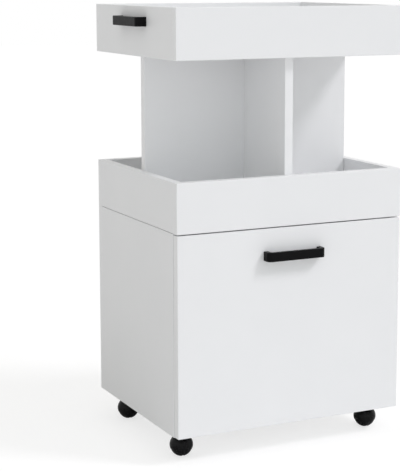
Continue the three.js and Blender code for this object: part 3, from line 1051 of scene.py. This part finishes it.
def sideSpots(levels, y, inside):  # on the two sides of the drawer box, on their inner or outer faces
    spots = []
    for name, inwards in (("drawer_left_side", 1), ("drawer_right_side", -1)):
        low, high = boardBoxes[name]
        way = inwards if inside else -inwards
        spots += [((high.x if way > 0 else low.x, y, low.z + level), (way, 0, 0)) for level in levels]
    return spots


def camSpots():
    return sideSpots(fastener["camLevels"], boardBoxes["drawer_front"][1].y + fastener["camInset"], True)


def backScrewSpots():
    low, high = boardBoxes["drawer_back"]
    return sideSpots(fastener["backScrewLevels"], (low.y + high.y) / 2, False)


def capSpots():
    top = boardBoxes["top_tray_floor"][1].z
    spots = []
    for name in ("centre_divider", "left_wing_panel", "right_wing_panel"):
        low, high = boardBoxes[name]
        for share in fastener["capPlaces"]:
            place = (low + high) / 2
            along = 1 if high.y - low.y > high.x - low.x else 0
            place[along] = low[along] + (high[along] - low[along]) * share
            spots.append(((place.x, place.y, top), (0, 0, 1)))
    return spots


def bumperSpots():
    low, high = boardBoxes["drawer_front"]
    inset = fastener["bumperInset"]
    return [((x, high.y, low.z + level), (0, 1, 0)) for x in (low.x + inset, high.x - inset)
            for level in fastener["bumperLevels"]]


def makeFasteners():
    for name, body in (("drawer", "drawer"), ("tray", "cabinet")):
        mesh = fasteners(name + "_handle_screws", handleScrewSpots(name), "handleScrew", "zinc")
        addPiece(name + "_handle_screws", mesh, [], body, "zinc_steel",
                 name + "_handle_screw_left", name + "_handle_screw_right")
    rows = (
        ("caster_plate_screws", plateScrewSpots(), "plateScrew", "zinc", "cabinet", "zinc_steel"),
        ("case_slide_screws", slideScrewSpots("outer"), "flatScrew", "zinc", "cabinet", "zinc_steel"),
        ("drawer_slide_screws", slideScrewSpots("inner"), "slideScrew", "zinc", "drawer", "zinc_steel"),
        ("drawer_cams", camSpots(), "cam", "dieCast", "drawer", "zinc_steel"),
        ("drawer_back_screws", backScrewSpots(), "flatScrew", "zinc", "drawer", "zinc_steel"),
        ("tray_floor_caps", capSpots(), "cap", "cap", "cabinet", "white_board"),
        ("drawer_front_bumpers", bumperSpots(), "bumper", "cap", "drawer", "white_board"),
    )
    for name, spots, kind, finish, body, slot in rows:
        addPiece(name, fasteners(name, spots, kind, finish), [], body, slot)
    print("fasteners set,", len(rows) + 2, "kinds")


def dressCadNodes():
    looks = {"white_board": "melamine", "drawer_board": "foil", "black_handle": "powderCoat",
             "zinc_steel": "zinc", "black_plastic": "nylon"}
    for name, node in cadNodes.items():
        node.data.materials.clear()
        node.data.materials.append(finishes[looks[slotOfNode[name]]])
    print("plain nodes dressed")


dressCadNodes()
makeBoards()
makeHandles()
makeCasters()
makeSlides()
makeFasteners()


# Studio

studio = {
    "skyStrength": 0.481,
    "skyColor": (1.018, 1.0, 0.955, 1),
    "fillDirection": (-0.1, -1.0, 0.15),  # a large reflector brightens the sky here
    "fillColor": (0.88, 1.0, 1.1, 1),
    "fillStrength": 0.32,
    "paperColor": (1, 1, 1, 1),  # what the camera and reflections see of the sky
    "keyDirection": (0.54, -0.45, 0.7),  # from the object towards the lamp
    "keyColor": (1.02, 1.0, 1.04),
    "keyStrength": 1.11,
    "keyAngle": 15,
    "floorRadius": 14,
    "floorSides": 64,
    "floorColor": (0.93, 0.93, 0.93),
    "floorRoughness": 0.9,
    "floorPaper": 0.59,  # how far the camera sees the floor as plain white paper
    "paperStrength": 1.19,
}


def mixShaders(tree, share, first, second):
    return addNode(tree, "ShaderNodeMixShader", {0: share, 1: first, 2: second}).outputs[0]


def makeSky():
    world = bpy.data.worlds.new("studio")
    bpy.context.scene.world = world
    world.use_nodes = True
    tree = world.node_tree
    even = addNode(tree, "ShaderNodeBackground", {"Color": studio["skyColor"],
                                                  "Strength": studio["skyStrength"]})
    where = addNode(tree, "ShaderNodeTexCoord")
    fillWay = Vector(studio["fillDirection"]).normalized()
    towards = addNode(tree, "ShaderNodeVectorMath", {0: where.outputs["Generated"], 1: fillWay},
                      operation="DOT_PRODUCT")
    glow = addNode(tree, "ShaderNodeMapRange", {"Value": towards.outputs["Value"],
                                                "To Max": studio["fillStrength"]})
    fill = addNode(tree, "ShaderNodeBackground", {"Color": studio["fillColor"],
                                                  "Strength": glow.outputs["Result"]})
    light = addNode(tree, "ShaderNodeAddShader", {0: even.outputs[0], 1: fill.outputs[0]})
    paper = tree.nodes["Background"]
    paper.inputs["Color"].default_value = studio["paperColor"]
    path = addNode(tree, "ShaderNodeLightPath").outputs
    seen = calculated(tree, "MAXIMUM", path["Is Camera Ray"], path["Is Transmission Ray"])
    seen = calculated(tree, "MAXIMUM", seen, path["Is Glossy Ray"])
    sky = mixShaders(tree, seen, light.outputs[0], paper.outputs[0])
    tree.links.new(sky, tree.nodes["World Output"].inputs["Surface"])


def makeFloor():
    mesh = bpy.data.meshes.new("floor")
    bm = bmesh.new()
    bmesh.ops.create_circle(bm, cap_ends=True, segments=studio["floorSides"], radius=studio["floorRadius"])
    bm.to_mesh(mesh)
    bm.free()
    material, tree, shader = newMaterial("studio paper", studio["floorColor"], studio["floorRoughness"])
    white = addNode(tree, "ShaderNodeEmission", {"Strength": studio["paperStrength"]})
    path = addNode(tree, "ShaderNodeLightPath")
    share = calculated(tree, "MULTIPLY", path.outputs["Is Camera Ray"], studio["floorPaper"])
    surface = mixShaders(tree, share, shader.outputs[0], white.outputs[0])
    tree.links.new(surface, tree.nodes["Material Output"].inputs["Surface"])
    mesh.materials.append(material)
    newObject("floor", mesh)


def makeKey():
    lamp = bpy.data.lights.new("key light", "SUN")
    lamp.angle = math.radians(studio["keyAngle"])
    lamp.color = studio["keyColor"]
    lamp.energy = studio["keyStrength"]
    obj = newObject("key light", lamp)
    obj.rotation_euler = (-Vector(studio["keyDirection"])).to_track_quat("-Z", "Y").to_euler()


view = {
    "place": (-1.1206, -2.1979, 0.7933),
    "yaw": 26.392,  # to the right of +Y
    "pitch": 8.392,  # downwards
    "focalPixels": 1429.1,
    "frameHeight": 471,
    "sensor": 36,
    "shift": (-0.06, -0.105),
}


def makeCamera():
    camera = bpy.data.cameras.new("photo camera")
    camera.sensor_width = view["sensor"]
    camera.lens = view["focalPixels"] / view["frameHeight"] * view["sensor"]
    camera.shift_x, camera.shift_y = view["shift"]
    obj = newObject("photo camera", camera)
    obj.location = view["place"]
    obj.rotation_euler = (math.radians(90 - view["pitch"]), 0, -math.radians(view["yaw"]))
    bpy.context.scene.camera = obj


makeSky()
makeFloor()
makeKey()
makeCamera()
bpy.context.scene.view_settings.view_transform = "Standard"
print("studio lit and camera set")
